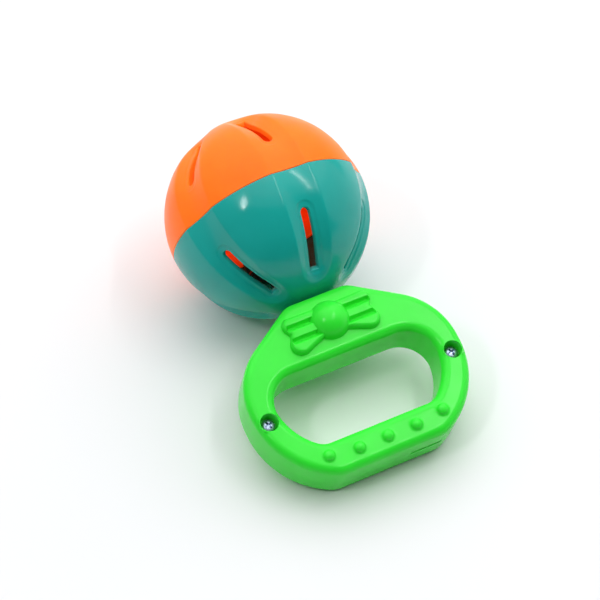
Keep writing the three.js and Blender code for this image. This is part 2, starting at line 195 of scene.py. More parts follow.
def cut(piece, *cutters):
    """Takes closed cutter meshes, drawn in the rattle's frame, out of a piece."""
    for cutter in cutters:
        tool = linked("cutter", cutter)
        modifier = piece.modifiers.new("cut", "BOOLEAN")
        modifier.object = tool
        modifier.operation = "DIFFERENCE"
        modifier.solver = "EXACT"
        graph = bpy.context.evaluated_depsgraph_get()
        made = bpy.data.meshes.new_from_object(piece.evaluated_get(graph))
        piece.modifiers.clear()
        old = piece.data
        piece.data = made
        bpy.data.meshes.remove(old)
        bpy.data.objects.remove(tool)
    piece.data.shade_smooth()
    piece.data.set_sharp_from_angle(angle=math.radians(SHARP))


def lathe_mesh(profile, segments, place):
    """A closed surface of revolution about y: its pairs of radius and height start and end on the axis."""
    angles = np.linspace(0, 2 * math.pi, segments, endpoint=False)
    surface = Surface()
    surface.loft([circle(angles, radius, height) for radius, height in profile])
    return surface.mesh("lathe", place)


def circle(angles, radius, height):
    """Points on a circle round y."""
    level = np.full(len(angles), float(height))
    return np.stack([radius * np.sin(angles), level, radius * np.cos(angles)], 1)


def unit_ring(count):
    """Points on a flat circle of radius 1."""
    angles = np.linspace(0, 2 * math.pi, count, endpoint=False)
    return np.stack([np.cos(angles), np.sin(angles)], 1)


def triangulate(points, loops, outer, holes):
    """Triangles of a flat region: loops are closed runs of point indices that stay edges."""
    edges = [(loop[i], loop[(i + 1) % len(loop)]) for loop in loops for i in range(len(loop))]
    made = delaunay_2d_cdt([Vector(p) for p in points], edges, [], 0, 1e-7)
    vertices, faces = np.array([tuple(v) for v in made[0]]), made[2]
    faces = np.array([face for face in faces if len(face) == 3])
    middle = vertices[faces].mean(1)
    keep = inside(middle, outer)
    for hole in holes:
        keep &= ~inside(middle, hole)
    source = [origin[0] if origin else -1 for origin in made[3]]
    return vertices, faces[keep], source


def inside(points, polygon):
    """Which of the points lie in a closed outline."""
    x, y = points[:, 0][:, None], points[:, 1][:, None]
    start, end = polygon, np.roll(polygon, -1, 0)
    crosses = (start[:, 1] > y) != (end[:, 1] > y)
    with np.errstate(divide="ignore", invalid="ignore"):
        at = start[:, 0] + (y - start[:, 1]) * (end[:, 0] - start[:, 0]) / (end[:, 1] - start[:, 1])
    return (np.where(crosses, x < at, False).sum(1) % 2) == 1


def spaced(candidates, taken, clearance):
    """The candidates that are at least a clearance away from every taken point."""
    tree = KDTree(len(taken))
    for index, point in enumerate(taken):
        tree.insert((point[0], point[1], 0), index)
    tree.balance()
    return np.array([p for p in candidates if tree.find((p[0], p[1], 0))[2] > clearance]).reshape(-1, 2)


def honeycomb(low, high, spacing):
    """Evenly spaced points that fill a rectangle, each row shifted by half a step."""
    rows = []
    step = spacing * math.sqrt(0.75)
    for index, y in enumerate(np.arange(low[1], high[1], step)):
        xs = np.arange(low[0] + (index % 2) * spacing / 2, high[0], spacing)
        rows.append(np.stack([xs, np.full(len(xs), y)], 1))
    return np.concatenate(rows)


def smoothstep(value, low, high):
    share = np.clip((value - low) / (high - low), 0, 1)
    return share * share * (3 - 2 * share)


def offsets_along(line, distances, closed=False):
    """The line's points moved sideways, once for each distance."""
    if closed:
        ahead, behind = np.roll(line, -1, 0), np.roll(line, 1, 0)
    else:
        ahead = np.concatenate([line[1:], line[-1:]])
        behind = np.concatenate([line[:1], line[:-1]])
    along = ahead - behind
    along /= np.linalg.norm(along, axis=1)[:, None]
    side = np.stack([along[:, 1], -along[:, 0]], 1)
    return [line + side * distance for distance in distances]


# ---- Ball ----

ROUND_STEPS = 4
FLAT_RIM = 0.12  # the flat strip beside a rounded edge
SEAM_EDGE = 0.2
SECTOR = 2 * math.pi / FLUTES
SECTOR_REACH = 20  # a little more than half a sector's width at the equator
BALL_ROWS = 80  # of points on a sector's borders, from the equator to the pole
BALL_STEP = 0.75  # between the points of the ball's surface
BALL_GAP = 0.45  # at least, between them and the points of the lines below
FLUTE_LINES = (-0.9, -0.45, -0.2, 0, 0.2, 0.45, 0.9)  # lines of points beside a flute's edge
RIM_LINES = (-0.55, -0.3, -0.05, 0.2, 0.45)  # and beside the edge of the recess round a slot
FLUTE_GAP, RIM_GAP = 0.22, 0.15  # at least, between a point of such a line and the earlier ones


def flute_width(latitude):
    """A flute's half-width, a little less towards the pole."""
    return FLUTE_WIDTH - FLUTE_TAPER * np.minimum(latitude / END_START, 1) ** 3


def flute_depth(latitude, angle, side):
    """How far the surface lies below the sphere; latitude is from the equator, either way."""
    width = flute_width(latitude)
    end = np.maximum(latitude - END_START, 0) / (END_LATITUDE - END_START)
    across = BALL_RADIUS * np.cos(latitude) * np.sin(angle) / width
    depth = FLUTE_DEPTH + (DEEPEST[side] - FLUTE_DEPTH) * smoothstep(latitude, 0, DEEP_LATITUDE)
    soft = EDGE_SOFTNESS + (END_SOFTNESS[side] - EDGE_SOFTNESS) * smoothstep(latitude, 0, END_START / 2)
    bowl = 1 - across**2 - end**2
    flute = depth * (bowl + np.sqrt(bowl**2 + soft**2)) / 2
    return flute + RIM_DEPTH[side] * rim_share(across * width, BALL_RADIUS * latitude)


def rim_ends():
    """The middles of the two round ends of the recess round a slot, as distances from the equator."""
    return BALL_RADIUS * SLOT_NEAR - RIM_NEAR + RIM_WIDTH, BALL_RADIUS * SLOT_FAR + RIM_FAR - RIM_WIDTH


def rim_share(x, y):
    """The shallow recess round a slot, a stadium with soft edges: 1 inside and 0 outside."""
    gap = np.hypot(x, y - np.clip(y, *rim_ends())) - RIM_WIDTH
    return 1 - smoothstep(gap, *RIM_SOFTNESS)


def flute_edge():
    """The flute's edge in the flat sector: up its right side, over its round end and down its left side."""
    latitudes = np.linspace(0, END_START, 60)
    straight = np.stack([flute_width(latitudes), latitudes], 1)
    turns = np.linspace(0, math.pi / 2, 24)[1:]
    end = END_START + (END_LATITUDE - END_START) * np.sin(turns)
    round_end = np.stack([flute_width(end) * np.cos(turns), end], 1)
    right = np.concatenate([straight, round_end])
    chord = np.arcsin(np.minimum(right[:, 0] / (BALL_RADIUS * np.cos(right[:, 1])), 1))
    flat = np.stack([BALL_RADIUS * np.cos(right[:, 1]) * chord, BALL_RADIUS * right[:, 1]], 1)
    left = flat[::-1][1:] * (-1, 1)
    return np.concatenate([flat, left])


def rim_outline():
    """The middle of the soft edge of the recess round a slot."""
    low, high = rim_ends()
    width = RIM_WIDTH * RIM_STRETCH
    bend = np.linspace(0, math.pi, 25)
    rise = np.linspace(low, high, 60)[1:-1]
    return np.concatenate([
        np.stack([-width * np.cos(bend), low - RIM_WIDTH * np.sin(bend)], 1),
        np.stack([np.full(len(rise), width), rise], 1),
        np.stack([width * np.cos(bend), high + RIM_WIDTH * np.sin(bend)], 1),
        np.stack([np.full(len(rise), -width), rise[::-1]], 1),
    ])


def slot_outline(grow):
    """A sound slot's outline in the flat sector, round towards the equator, square towards the pole."""
    end = SLOT_WIDTH / 2 * SLOT_STRETCH
    half = end + grow
    low = BALL_RADIUS * SLOT_NEAR + end
    high = BALL_RADIUS * SLOT_FAR + grow
    corner = SLOT_CORNER + grow
    bend = np.linspace(math.pi, 2 * math.pi, 19)
    rise = np.linspace(low, high - corner, 46)[1:]
    fall = rise[::-1][1:]
    turn = np.linspace(0, math.pi / 2, 5)[1:]
    top = np.linspace(half - corner, -(half - corner), 8)[1:]
    return np.concatenate([
        np.stack([half * np.cos(bend), low + half * np.sin(bend)], 1),
        np.stack([np.full(len(rise), half), rise], 1),
        np.stack([half - corner + corner * np.cos(turn), high - corner + corner * np.sin(turn)], 1),
        np.stack([top, np.full(len(top), high)], 1),
        np.stack([-(half - corner) - corner * np.sin(turn), high - corner + corner * np.cos(turn)], 1),
        np.stack([np.full(len(fall), -half), fall], 1),
    ])


def rounding(radius):
    """Pairs of sideways offset and drop of a rounded edge, from its wall to its face and a flat strip."""
    turns = np.linspace(0, math.pi / 2, ROUND_STEPS + 1)
    pairs = [(radius * (1 - math.cos(a)), radius * (1 - math.sin(a))) for a in turns]
    return [*pairs, (radius + FLAT_RIM, 0)]


def sector_columns():
    """The angles of the points on a sector's rim, closest together at the flute's edges."""
    half = BALL_RADIUS * SECTOR / 2
    near = [FLUTE_WIDTH + d for d in FLUTE_LINES]
    right = np.array([*np.linspace(0, near[0], 10)[:-1], *near, *np.linspace(near[-1], half, 18)[1:]])
    return np.concatenate([-right[::-1][:-1], right]) / BALL_RADIUS


def ball_sector(top_latitude, top_columns):
    """Flat mesh of one sixth of a half: points, their drop, triangles and the loops on its borders."""
    points, drops, loops, marks = [], [], [], {}

    def put(new, drop=0.0):
        start = sum(len(p) for p in points)
        points.append(np.asarray(new, float))
        drops.append(np.full(len(new), drop))
        return list(range(start, start + len(new)))

    columns = sector_columns()
    rows = []
    for offset, drop in rounding(SEAM_EDGE):
        y = SEAM + offset
        xs = BALL_RADIUS * math.cos(y / BALL_RADIUS) * columns
        rows.append(put(np.stack([xs, np.full(len(columns), y)], 1), drop))
    marks["rim"] = rows[0]
    start = SEAM + rounding(SEAM_EDGE)[-1][0]
    heights = np.linspace(start, BALL_RADIUS * top_latitude, BALL_ROWS)[1:]
    border = BALL_RADIUS * np.cos(heights / BALL_RADIUS) * SECTOR / 2
    last = len(heights) - 1
    right = put(np.stack([border[:last], heights[:last]], 1))
    left = put(np.stack([-border[:last], heights[:last]], 1))
    if top_columns:
        xs = np.linspace(-1, 1, top_columns + 1) * border[last]
        marks["top"] = put(np.stack([xs, np.full(top_columns + 1, heights[last])], 1))
    else:
        marks["top"] = put([(0, heights[last])])
    sides = [row[-1] for row in rows] + right
    other = [row[0] for row in rows] + left
    outline = rows[0] + sides[1:] + marks["top"][::-1] + other[::-1][:-1]
    loops.append(outline)
    marks["slot"] = None
    for offset, drop in rounding(SLOT_EDGE):
        loop = put(slot_outline(offset), drop)
        loops.append(loop)
        marks["slot"] = marks["slot"] or loop
    taken = np.concatenate(points)
    lines = [(line, RIM_GAP) for line in offsets_along(rim_outline(), RIM_LINES, closed=True)]
    for line in offsets_along(flute_edge(), FLUTE_LINES):
        lines.append((line[line[:, 1] > start + 0.3], FLUTE_GAP))
    for line, gap in lines:
        fresh = spaced(line, taken, gap)
        put(fresh)
        taken = np.concatenate([taken, fresh])
    grid = honeycomb((-SECTOR_REACH, start), (SECTOR_REACH, BALL_RADIUS * top_latitude), BALL_STEP)
    flat = np.concatenate(points)
    inner = inside(grid, flat[outline]) & ~inside(grid, flat[loops[-1]])
    put(spaced(grid[inner], taken, BALL_GAP))
    flat = np.concatenate(points)
    drop = np.concatenate(drops)
    vertices, faces, source = triangulate(flat, loops, flat[outline], [flat[marks["slot"]]])
    drop = np.array([drop[i] if i >= 0 else 0.0 for i in source])
    place = {origin: index for index, origin in enumerate(source)}
    marks = {name: [place[i] for i in indices] for name, indices in marks.items()}
    return vertices, drop, faces, marks


def wrap(flat, radius, turn, side):
    """Points of the flat sector on the pressed sphere; radius is before pressing."""
    latitude = flat[:, 1] / BALL_RADIUS
    scale = BALL_RADIUS * np.cos(latitude)
    angle = np.divide(flat[:, 0], scale, out=np.zeros(len(flat)), where=scale > 1e-6)
    pressed = radius - flute_depth(latitude, angle, side)
    azimuth = angle + turn + PHASE
    around = pressed * np.cos(latitude)
    along = side * pressed * np.sin(latitude)
    return np.stack([around * np.sin(azimuth), along, around * np.cos(azimuth)], 1)


def ball_half(side, top_latitude, top_columns):
    """One half of the ball: side is 1 for the cap and -1 for the half with the neck."""
    flat, drop, faces, marks = ball_sector(top_latitude, top_columns)
    surface = Surface()
    latitude = flat[:, 1] / BALL_RADIUS
    inner_radius = np.full(len(flat), BALL_RADIUS - BALL_WALL)
    if side > 0:
        share = smoothstep(latitude, *TONGUE_LATITUDES)
        inner_radius = TONGUE["inner"] + (inner_radius - TONGUE["inner"]) * share
    tops = []
    for sector in range(FLUTES):
        turn = sector * SECTOR
        outer = wrap(flat, BALL_RADIUS - drop, turn, side)
        inner = wrap(flat, inner_radius, turn, side)
        surface.add(outer, faces.tolist())
        surface.add(inner, faces.tolist())
        slot = marks["slot"]
        surface.loft([outer[slot], inner[slot]])
        rim = marks["rim"]
        if side > 0:
            root = wrap(flat[rim], np.full(len(rim), TONGUE["outer"]), turn, side)
            tip_inner = wrap(flat[rim], np.full(len(rim), TONGUE["inner"]), turn, side)
            tip_outer = root.copy()
            tip_inner[:, 1] = tip_outer[:, 1] = -TONGUE["rise"]
            surface.loft([inner[rim], tip_inner, tip_outer, root, outer[rim]], closed=False)
        else:
            surface.loft([inner[rim], outer[rim]], closed=False)
        tops.append((outer[marks["top"]], inner[marks["top"]]))
    return surface, tops


def neck(surface, tops):
    """The neck with its flange: loops from the ball's outside, down the neck and up its bore."""
    outer = np.concatenate([top[0][:-1] for top in tops])
    inner = np.concatenate([top[1][:-1] for top in tops])
    angles = np.arctan2(outer[:, 0], outer[:, 2])
    start = -outer[0, 1]
    ring = math.hypot(outer[0, 0], outer[0, 2])
    fillet = ring - NECK_RADIUS
    bend = [
        (NECK_RADIUS + fillet * (1 - math.sin(a)), start + fillet * (1 - math.cos(a)))
        for a in np.linspace(0, math.pi / 2, 7)[1:]
    ]
    profile = [
        *bend,
        (NECK_RADIUS, FLANGE_TOP),
        (FLANGE_RADIUS, FLANGE_TOP),
        (FLANGE_RADIUS, FLANGE_BOTTOM),
        (NECK_BORE, FLANGE_BOTTOM),
        (NECK_BORE, BALL_RADIUS - BALL_WALL - NECK_INLET),
    ]
    loops = [circle(angles, radius, -height) for radius, height in profile]
    surface.loft([outer, *loops, inner])


# ---- Handle ----

OUTLINE_STEP = 0.7  # between the points of the handle's outlines
FACE_STEP = 1.6  # and between those of its flat faces
FACE_GAP = 1.0  # at least, between these and the points of the borders and the raised shapes
FACE_FIELD = ((-41, -102), (41, -37))  # a rectangle round the handle
CROWN_CORNER = 11.8  # half-width of the crown before its corner is rounded
CROWN_RADIUS = 8
SHOULDER_SLOPE = math.radians(32.5)
SHOULDER, SHOULDER_RADIUS = (14.7, -69.4), 25.7  # the arc from the sloping shoulder to the side
SIDE, SIDE_RADIUS = (8.3, -70.9), 32.1  # and on from there towards the grip's end
GRIP_RADIUS = 10
OPENING_TOP, OPENING_BOTTOM = 60.6, 88.4
OPENING_CORNER, OPENING_RADIUS = 20, 11  # the middle of its upper corner, in x, and the radius
OPENING_SIDE = (8.3, -69.4)
OPENING_LOW_RADIUS = 7


def arc_points(centre, radius, from_angle, to_angle, step=OUTLINE_STEP):
    """Points of an arc with their outward normals."""
    count = max(int(math.ceil(abs(to_angle - from_angle) * radius / step)), 3)
    angles = np.linspace(from_angle, to_angle, count + 1)
    points = np.stack([centre[0] + radius * np.cos(angles), centre[1] + radius * np.sin(angles)], 1)
    return points, np.stack([np.cos(angles), np.sin(angles)], 1)


def line_points(start, end, normal):
    """Points strictly between the two ends of a straight stretch."""
    start, end = np.array(start, float), np.array(end, float)
    count = max(int(round(np.linalg.norm(end - start) / OUTLINE_STEP)), 1)
    shares = np.arange(1, count) / count
    points = start + (end - start) * shares[:, None]
    return points, np.tile(normal, (len(points), 1))


def fillet_to_circle(centre, circle_radius, edge_y, radius):
    """Centre and contact angle of a fillet between a horizontal edge and the circle that meets it."""
    y = edge_y + radius
    reach = circle_radius - radius
    x = centre[0] + math.sqrt(reach**2 - (y - centre[1]) ** 2)
    return (x, y), math.atan2(y - centre[1], x - centre[0])


def symmetric(stretches):
    """A closed clockwise outline and its outward normals, from stretches of its right half."""
    points = np.concatenate([s[0] for s in stretches])
    normals = np.concatenate([s[1] for s in stretches])
    fresh = np.concatenate([[True], np.linalg.norm(np.diff(points, axis=0), axis=1) > 0.02])
    points, normals = points[fresh], normals[fresh]
    off_axis = np.abs(points[:, 0]) > 1e-6
    mirror = (-1, 1)
    return (
        np.concatenate([points, points[off_axis][::-1] * mirror]),
        np.concatenate([normals, normals[off_axis][::-1] * mirror]),
    )


def on_axis(y, upward):
    """An outline's point on the axis, with its normal."""
    return np.array([[0.0, y]]), np.array([[0.0, upward]])


def handle_outline():
    """The handle's outside: straight lines join the flat crown, the sloping shoulders and the flat end."""
    crown = (CROWN_CORNER - CROWN_RADIUS * math.tan(SHOULDER_SLOPE / 2), -CROWN - CROWN_RADIUS)
    corner, contact = fillet_to_circle(SIDE, SIDE_RADIUS, -BOTTOM, GRIP_RADIUS)
    quarter = math.pi / 2
    bend = arc_points(crown, CROWN_RADIUS, quarter, quarter - SHOULDER_SLOPE)
    hip = arc_points(SHOULDER, SHOULDER_RADIUS, quarter - SHOULDER_SLOPE, 0)
    straight = line_points(bend[0][-1], hip[0][0], (math.sin(SHOULDER_SLOPE), math.cos(SHOULDER_SLOPE)))
    top = line_points((-OUTLINE_STEP, -CROWN), bend[0][0], (0, 1))
    middle = top[0][:, 0] >= -1e-9
    turn = arc_points(corner, GRIP_RADIUS, contact, -quarter)
    base = line_points(turn[0][-1], (0.0, -BOTTOM), (0, -1))
    return symmetric([
        on_axis(-CROWN, 1.0),
        (top[0][middle], top[1][middle]),
        bend,
        straight,
        hip,
        line_points(hip[0][-1], (SIDE[0] + SIDE_RADIUS, SIDE[1]), (1, 0)),
        arc_points(SIDE, SIDE_RADIUS, 0, contact),
        turn,
        base,
        on_axis(-BOTTOM, -1.0),
    ])


def opening_outline():
    """The finger opening, with normals towards its middle, which is outward for the plastic."""
    upper = (OPENING_CORNER, -OPENING_TOP - OPENING_RADIUS)
    start = (upper[0] + OPENING_RADIUS - OPENING_SIDE[0], upper[1] - OPENING_SIDE[1])
    around = math.hypot(*start)
    low, contact = fillet_to_circle(OPENING_SIDE, around, -OPENING_BOTTOM, OPENING_LOW_RADIUS)
    quarter = math.pi / 2
    corner = arc_points(upper, OPENING_RADIUS, quarter, 0)
    turn = arc_points(low, OPENING_LOW_RADIUS, contact, -quarter)
    points, normals = symmetric([
        on_axis(-OPENING_TOP, 1.0),
        line_points((0, -OPENING_TOP), corner[0][0], (0, 1)),
        corner,
        arc_points(OPENING_SIDE, around, math.atan2(start[1], start[0]), contact),
        turn,
        line_points(turn[0][-1], (0, -OPENING_BOTTOM), (0, -1)),
        on_axis(-OPENING_BOTTOM, -1.0),
    ])
    return points, -normals


SCREWS = [(-35.58, -74.37), (35.58, -74.37)]
RECESS_RADIUS = 3.2
RECESS_EDGE = 0.25
RECESS_CORNER = 0.3  # the rounding between the recess's wall and its shelf
CLEAR_RADIUS = 1.65
SHELF = 5.25
PILOT_END = -7
PILOT_TIP = 0.01  # radius of the small face that closes a pilot hole's end
BUMPS = [(-21.93, -93.14), (-10.96, -94.49), (0, -94.42), (10.96, -94.49), (21.93, -93.14)]
BUMP_RADIUS, BUMP_HEIGHT, BUMP_FOOT = 2.1, 1.8, 0.35
BUMP_REACH = 2.9  # half the side of the square with finer points round a bump
CANDY_Y = -48.2
CANDY_RADIUS, CANDY_HEIGHT = 7.15, 6.2
CANDY_REACH = (21, 12)  # half the width and height of the field that holds the candy
WING_HEIGHT = 2.6
WING_EDGE = 1.3
PLEATS = (2.5, -2.5)  # where a pleat's steep side is, from the candy's centre line
PLEAT_DEPTH = 1.9
PLEAT_END = 15.9
PLEAT_STEEP = (-0.5, 0.45)  # from where to where a pleat falls, below its line
PLEAT_GENTLE = (0.5, 2.3)  # and rises again


def wing_outline():
    """A twisted wrapper end, from the candy's middle: two round lobes with a notch between them."""
    upper = arc_points((13.9, 2.9), 3.0, math.radians(95), math.radians(-40), 0.3)[0]
    lower = arc_points((13.3, -4.7), 3.8, math.radians(40), math.radians(-108), 0.3)[0]
    return np.concatenate([[(2, 5.6)], upper, [(15.5, -0.6)], lower, [(2, -4.4)]])


def distance_inside(points, polygon):
    """Signed distance to a closed outline, positive inside."""
    best = np.full(len(points), 1e9)
    for start, end in zip(polygon, np.roll(polygon, -1, 0)):
        span = end - start
        share = np.clip(((points - start) @ span) / (span @ span), 0, 1)
        gap = np.linalg.norm(points - start - share[:, None] * span, axis=1)
        best = np.minimum(best, gap)
    return np.where(inside(points, polygon), best, -best)


def candy_height(points):
    """Height of the wrapped candy above the handle's face."""
    x, y = np.abs(points[:, 0]), points[:, 1] - CANDY_Y
    height = np.zeros(len(points))
    near = (x < CANDY_REACH[0]) & (np.abs(y) < CANDY_REACH[1])
    at = np.stack([x[near], y[near]], 1)
    radius = np.hypot(at[:, 0], at[:, 1])
    dome = CANDY_HEIGHT * np.sqrt(np.maximum(1 - (radius / CANDY_RADIUS) ** 2, 0))
    depth = distance_inside(at, wing_outline())
    # The wing's edge rises in a quarter round.
    rise = np.clip(1 - depth / WING_EDGE, 0, 1)
    wing = WING_HEIGHT * np.sqrt(1 - rise**2)
    for middle in PLEATS:
        below = middle - at[:, 1]
        fold = smoothstep(below, *PLEAT_STEEP) * (1 - smoothstep(below, *PLEAT_GENTLE))
        wing -= PLEAT_DEPTH * fold * smoothstep(PLEAT_END - at[:, 0], -0.3, 0.5)
    wing = np.where(depth > 0, np.maximum(wing, 0), 0)
    height[near] = np.maximum(dome, wing)
    return height


def bump_height(points):
    """Height of the grip's domed bumps, each with a low soft foot."""
    height = np.zeros(len(points))
    for x, y in BUMPS:
        radius = np.hypot(points[:, 0] - x, points[:, 1] - y)
        dome = BUMP_HEIGHT * np.sqrt(np.maximum(1 - (radius / BUMP_RADIUS) ** 2, 0))
        foot = BUMP_FOOT * (1 - smoothstep(radius, BUMP_RADIUS - 0.3, BUMP_RADIUS + 0.6))
        height = np.maximum(height, np.maximum(dome, foot))
    return height


def face_height(points):
    return candy_height(points) + bump_height(points)


EDGE_STEPS = 9
EDGE_RIM = 0.15  # the flat strip inside the rounded edge
HOLE_SIDES = 40
PROBE = 0.12  # how far from a point its slope and bend are measured
STEEP, BENT = 0.2, 0.03  # the slope and the bend from which the points are fine


def edge_loops(points, normals):
    """Rounded-edge loops from the wall in to the flat face, as flat points with their drop."""
    loops = []
    for turn in np.linspace(0, math.pi / 2, EDGE_STEPS + 1):
        inset = EDGE * (1 - math.cos(turn))
        loops.append((points - normals * inset, EDGE * (1 - math.sin(turn))))
    loops.append((points - normals * (EDGE + EDGE_RIM), 0.0))
    return loops


def recess_loops(x, y):
    """The rounded edge of a screw's recess in the face, as flat points with their drop."""
    ring = unit_ring(HOLE_SIDES)
    return [((x, y) + ring * (RECESS_RADIUS + offset), drop) for offset, drop in rounding(RECESS_EDGE)]


def raised(points, height):
    """Flat points at a height, which is one for all or one for each."""
    return np.column_stack([points, np.broadcast_to(height, len(points))])


def refined(low, high, height, fine=0.14, medium=0.42):
    """Points of a field of heights: a fine grid where it is steep and a medium one elsewhere."""
    coarse_points = honeycomb(low, high, medium)
    fine_points = honeycomb(low, high, fine)
    right, left, up, down = (
        height(fine_points + shift) for shift in np.array([(1, 0), (-1, 0), (0, 1), (0, -1)]) * PROBE
    )
    slope = np.abs(right - left) + np.abs(up - down)
    bend = np.abs(right + left + up + down - 4 * height(fine_points))
    fine_points = fine_points[(slope > STEEP) | (bend > BENT)]
    coarse_points = spaced(coarse_points, fine_points, medium * 0.6)
    return np.concatenate([fine_points, coarse_points])


def handle_face(outer, opening, holes, height, detailed):
    """The handle's flat face as a mesh: its loops round the borders, its inner points and its triangles."""
    points, loops, drops = [], [], []
    groups = (outer, opening, *holes)
    for ring, drop in [loop for group in groups for loop in group]:
        start = sum(len(p) for p in points)
        points.append(ring)
        drops.append(np.full(len(ring), drop))
        loops.append(list(range(start, start + len(ring))))
    borders = [group[-1][0] for group in groups]
    taken = np.concatenate(points)
    extra = []
    if detailed:
        width, tall = CANDY_REACH
        extra.append(refined((-width, CANDY_Y - tall), (width, CANDY_Y + tall), height))
        for bump in np.array(BUMPS):
            extra.append(refined(bump - BUMP_REACH, bump + BUMP_REACH, height, medium=0.3))
    extra = [spaced(e, taken, 0.12) for e in extra]
    filled = np.concatenate([taken, *extra])
    grid = spaced(honeycomb(*FACE_FIELD, FACE_STEP), filled, FACE_GAP)
    everything = np.concatenate([*extra, grid])
    keep = inside(everything, borders[0])
    for border in borders[1:]:
        keep &= ~inside(everything, border)
    everything = everything[keep]
    flat = np.concatenate([taken, everything])
    drop = np.concatenate([*drops, np.zeros(len(everything))])
    walls = [group[0][0] for group in groups]
    vertices, faces, source = triangulate(flat, loops, walls[0], walls[1:])
    drop = np.array([drop[i] if i >= 0 else 0.0 for i in source])
    z = HALF_THICKNESS - drop + height(vertices)
    place = {origin: index for index, origin in enumerate(source)}
    firsts = np.cumsum([0] + [len(group) for group in groups[:-1]])
    return np.column_stack([vertices, z]), faces, [[place[i] for i in loops[first]] for first in firsts]


def handle_half(side):
    """Side is 1 for the front half and -1 for the rear half, which is drawn facing up and then mirrored."""
    outer_points, outer_normals = handle_outline()
    open_points, open_normals = opening_outline()
    outer = edge_loops(outer_points, outer_normals)
    opening = edge_loops(open_points, open_normals)
    front = side > 0
    holes = [recess_loops(x, y) for x, y in SCREWS] if front else []
    height = face_height if front else lambda points: np.zeros(len(points))
    face, triangles, borders = handle_face(outer, opening, holes, height, front)
    flip = np.array((1, 1, side))
    surface = Surface()
    surface.add(face * flip, triangles.tolist())
    low_loops = []
    for border, normals in zip(borders[:2], (outer_normals, open_normals)):
        wall = face[border][:, :2]
        above = raised(wall, PARTING + PARTING_BEVEL)
        below = raised(wall - normals * PARTING_BEVEL, PARTING)
        surface.loft([loop * flip for loop in (face[border], above, below)])
        low_loops.append(below)
    ring = unit_ring(HOLE_SIDES)
    for index, (x, y) in enumerate(SCREWS):
        narrow = (x, y) + ring * CLEAR_RADIUS
        if front:
            wide = (x, y) + ring * RECESS_RADIUS
            corner = (x, y) + ring * (RECESS_RADIUS - RECESS_CORNER)
            steps = [
                face[borders[2 + index]],
                raised(wide, SHELF + RECESS_CORNER),
                raised((wide + corner) / 2, SHELF + RECESS_CORNER / 3),
                raised(corner, SHELF),
                raised(narrow, SHELF),
                raised(narrow, PARTING),
            ]
        else:
            tip = raised((x, y) + ring * PILOT_TIP, -PILOT_END)
            steps = [tip, raised(narrow, -PILOT_END), raised(narrow, PARTING)]
            surface.add(tip * flip, [list(range(HOLE_SIDES))])
        surface.loft([loop * flip for loop in steps])
        low_loops.append(steps[-1])
    flat_loops = [loop[:, :2] for loop in low_loops]
    starts = np.cumsum([0] + [len(loop) for loop in flat_loops])
    loops = [list(range(start, end)) for start, end in zip(starts, starts[1:])]
    vertices, faces, _ = triangulate(np.concatenate(flat_loops), loops, flat_loops[0], flat_loops[1:])
    surface.add(raised(vertices, PARTING) * flip, faces.tolist())
    return surface


def neck_seat():
    """The space for the neck and its flange in the crown of the handle."""
    narrow, wide = NECK_RADIUS + SEAT_GAP, FLANGE_RADIUS + FLANGE_GAP
    mouth = -CROWN + 3  # a little outside of the handle
    ledge, base = -FLANGE_TOP + SEAT_GAP, -FLANGE_BOTTOM - SEAT_GAP
    profile = [(0, mouth), (narrow, mouth), (narrow, ledge), (wide, ledge), (wide, base), (0, base)]
    return lathe_mesh(profile, 72, LOCAL)


BOX_FACES = [(0, 1, 2, 3), (7, 6, 5, 4), (0, 4, 5, 1), (1, 5, 6, 2), (2, 6, 7, 3), (3, 7, 4, 0)]


def box_mesh(low, high):
    """A box in the rattle's frame."""
    (x0, y0, z0), (x1, y1, z1) = low, high
    points = []
    for y in (y0, y1):
        points += [(x0, y, z0), (x1, y, z0), (x1, y, z1), (x0, y, z1)]
    return closed_mesh("box", points, BOX_FACES, LOCAL)


# ---- Screws ----

HEAD_TOP, HEAD_HEIGHT, HEAD_RADIUS = 7.2, 1.8, 2.45
HEAD_DOME = 0.9  # how much of the head's height is its domed top
HEAD_BEVEL = 0.15
SHANK_RADIUS, TIP = 1.3, -6.4
SCREW_TURN = math.radians(20)
CROSS_LENGTH, CROSS_WIDTH, CROSS_DEPTH = 1.55, 0.42, 1.5  # half-lengths of the cross recess's bars, and depth


def screw_piece(name, node, x, y, material):
    """A pan-head screw with a cross recess; its thread is left out."""
    under = HEAD_TOP - HEAD_HEIGHT
    dome = [
        (HEAD_RADIUS * math.sin(a), HEAD_TOP - HEAD_DOME + HEAD_DOME * math.cos(a))
        for a in np.linspace(math.pi / 2, 0.12, 9)
    ]
    profile = [
        (0, TIP),
        (SHANK_RADIUS / 2, TIP + 1),
        (SHANK_RADIUS, TIP + 2.2),
        (SHANK_RADIUS, under),
        (HEAD_RADIUS - HEAD_BEVEL, under),
        (HEAD_RADIUS, under + HEAD_BEVEL),
        *dome,
        (0, HEAD_TOP),
    ]
    upright = LOCAL @ Matrix.Translation((x, y, 0)) @ Matrix.Rotation(math.pi / 2, 4, "X")
    mesh = lathe_mesh(profile, 48, upright)
    piece = finish_piece(mesh, name, "handle", material, node)
    cut(piece, cross_bar(x, y, SCREW_TURN), cross_bar(x, y, SCREW_TURN + math.pi / 2))


def cross_bar(x, y, angle):
    """One bar of the cross recess, narrower and shorter towards its bottom."""
    points = []
    for z, share in ((HEAD_TOP + 0.5, 1.15), (HEAD_TOP - CROSS_DEPTH, 0.45)):
        for sx, sy in ((-1, -1), (1, -1), (1, 1), (-1, 1)):
            px, py = sx * CROSS_LENGTH * share, sy * CROSS_WIDTH * (0.5 + share / 2)
            points.append((
                x + px * math.cos(angle) - py * math.sin(angle),
                y + px * math.sin(angle) + py * math.cos(angle),
                z,
            ))
    return closed_mesh("bar", points, BOX_FACES, LOCAL)


# ---- Materials ----

PLASTIC_IOR = 1.49
# Painted glow: the colour of the light the orange shell gives off of its own, in place of the light that
# shines through the translucent plastic into the ball.
PAINTED_GLOW_COLOR = (1.0, 0.05, 0.002, 1)


